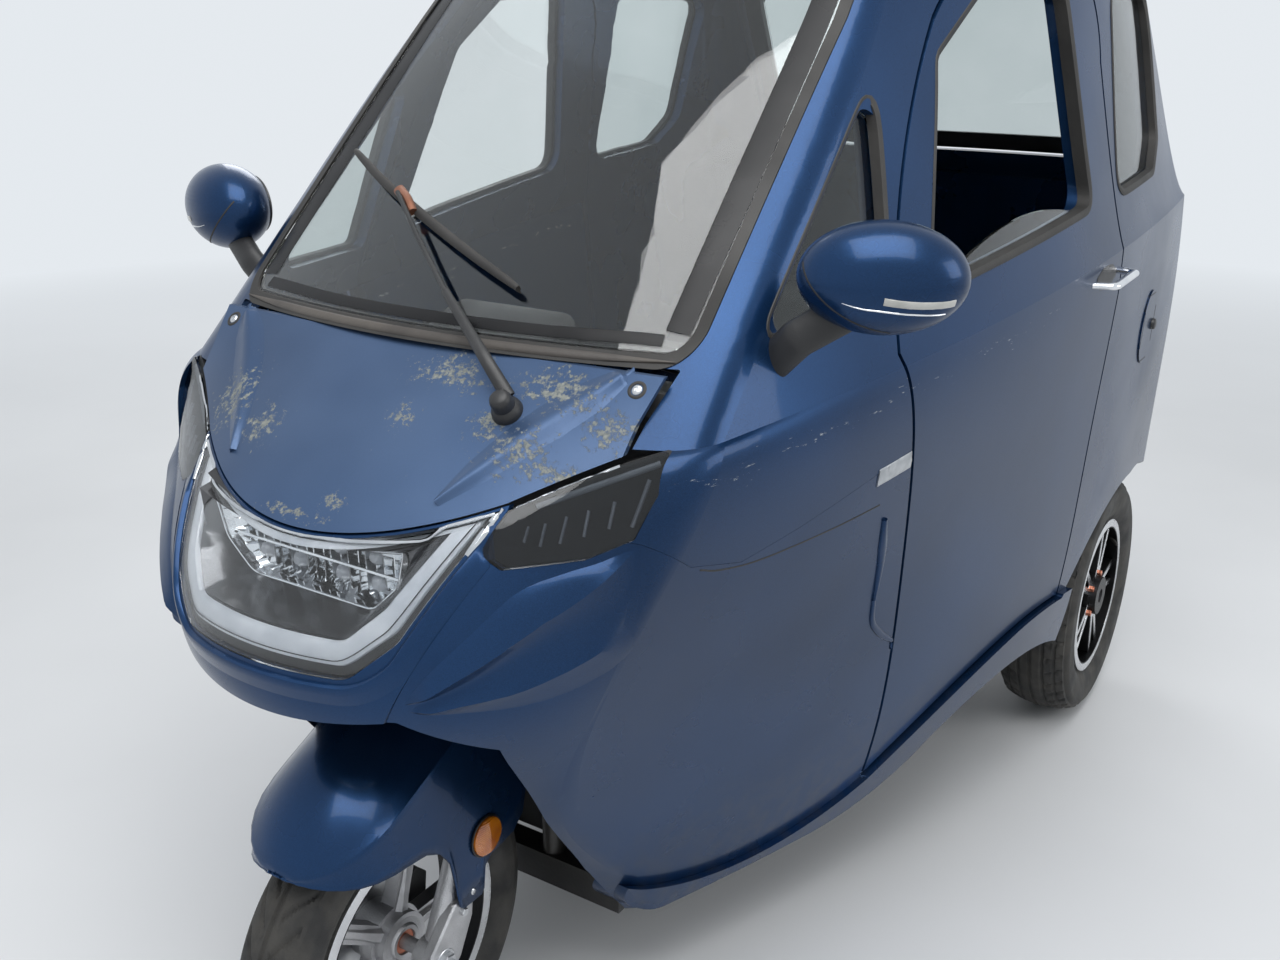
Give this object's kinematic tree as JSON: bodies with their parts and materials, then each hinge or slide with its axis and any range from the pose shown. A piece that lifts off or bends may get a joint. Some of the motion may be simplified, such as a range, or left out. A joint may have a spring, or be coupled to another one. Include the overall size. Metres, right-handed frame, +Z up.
{
  "type": "three wheeled car",
  "caption": "Enclosed three wheeled electric cabin car with a steered front wheel, two side doors, a wraparound lamp nose and a glazed rear hatch.",
  "frame": {"origin": "on the ground below the middle of the car's length, on its centre plane", "axes": "+Y towards the tail, +X towards the car's left side, +Z up"},
  "size_m": [1.2318, 2.1197, 1.6378],
  "materials": {
    "body_paint": "dark blue metallic gloss",
    "handle_chrome": "bright chrome",
    "glazing": "clear, faintly tinted",
    "lamp_lens": "clear moulded lens",
    "light_guide": "pale translucent",
    "red_lens": "red moulded lens",
    "amber_lens": "amber moulded lens",
    "seal_rubber": "black weathered rubber",
    "black_plastic": "black grained moulding",
    "frame_steel": "black semi-matt paint",
    "seat_cover": "black grained vinyl",
    "cast_axle": "black painted casting",
    "cast_alloy": "cast and machined silver",
    "tyre": "black rubber",
    "disc_steel": "ground steel"
  },
  "bodies": {
    "car_body": {"charge_flap": "body_paint", "chassis_frame": "frame_steel", "dashboard": "black_plastic", "door_strikers": "frame_steel", "driver_backrest": "seat_cover", "driver_cushion": "seat_cover", "floor_pan": "frame_steel", "front_fenders": "body_paint", "front_lower_panels": "body_paint", "front_pillars": "body_paint", "hatch_surround": "body_paint", "headlamp_housing": "black_plastic", "hinge_pillars": "black_plastic", "hood": "body_paint", "indicator_housings": "black_plastic", "inner_sills": "black_plastic", "lamp_lenses": "lamp_lens", "light_ring": "light_guide", "mirror_arms": "black_plastic", "mirror_heads": "body_paint", "nose_panel": "body_paint", "rear_axle": "cast_axle", "rear_backrest": "seat_cover", "rear_bumper": "body_paint", "rear_cushion": "seat_cover", "rear_panel": "body_paint", "rear_pillars": "body_paint", "rear_quarter_panels": "body_paint", "rear_springs": "frame_steel", "roof_panel": "body_paint", "seat_base": "black_plastic", "side_glass": "glazing", "sills": "body_paint", "tail_lamps": "red_lens", "windshield": "glazing", "windshield_seal": "seal_rubber", "wiper": "black_plastic"},
    "steering": {"fork": "cast_alloy", "handlebar": "black_plastic", "mudguard": "body_paint", "reflectors": "amber_lens"},
    "front_wheel": {"front_rim": "cast_alloy", "front_tyre": "tyre", "front_brake_disc": "disc_steel"},
    "rear_wheel_left": {"rear_rim_left": "cast_alloy", "rear_tyre_left": "tyre"},
    "rear_wheel_right": {"rear_rim_right": "cast_alloy", "rear_tyre_right": "tyre"},
    "door_left": {"door_frame_left": "body_paint", "door_glass_left": "glazing", "door_handle_left": "handle_chrome", "door_panel_left": "body_paint"},
    "door_right": {"door_frame_right": "body_paint", "door_glass_right": "glazing", "door_handle_right": "handle_chrome", "door_panel_right": "body_paint"},
    "hatch": {"hatch_frame": "black_plastic", "hatch_glass": "glazing", "hatch_hinges": "black_plastic"}
  },
  "joints": [
    {"name": "steering_turn", "type": "hinge", "parent": "car_body", "child": "steering", "pos_m": [0, -0.61369, 0.68815], "axis": [0, 0.4226, 0.9063], "range_deg": [-35, 35]},
    {"name": "front_wheel_spin", "type": "hinge", "parent": "steering", "child": "front_wheel", "pos_m": [0, -0.825, 0.235], "axis": [1, 0, 0], "continuous": true},
    {"name": "rear_wheel_left_spin", "type": "hinge", "parent": "car_body", "child": "rear_wheel_left", "pos_m": [0.4575, 0.751, 0.254], "axis": [1, 0, 0], "continuous": true},
    {"name": "rear_wheel_right_spin", "type": "hinge", "parent": "car_body", "child": "rear_wheel_right", "pos_m": [-0.4575, 0.751, 0.254], "axis": [1, 0, 0], "continuous": true},
    {"name": "door_left_swing", "type": "hinge", "parent": "car_body", "child": "door_left", "pos_m": [0.494, -0.358, 0.7], "axis": [0, 0, -1], "range_deg": [0, 65]},
    {"name": "door_right_swing", "type": "hinge", "parent": "car_body", "child": "door_right", "pos_m": [-0.494, -0.358, 0.7], "axis": [0, 0, 1], "range_deg": [0, 65]},
    {"name": "hatch_swing", "type": "hinge", "parent": "car_body", "child": "hatch", "pos_m": [0, 0.806, 1.484], "axis": [1, 0, 0], "range_deg": [0, 80]}
  ]
}
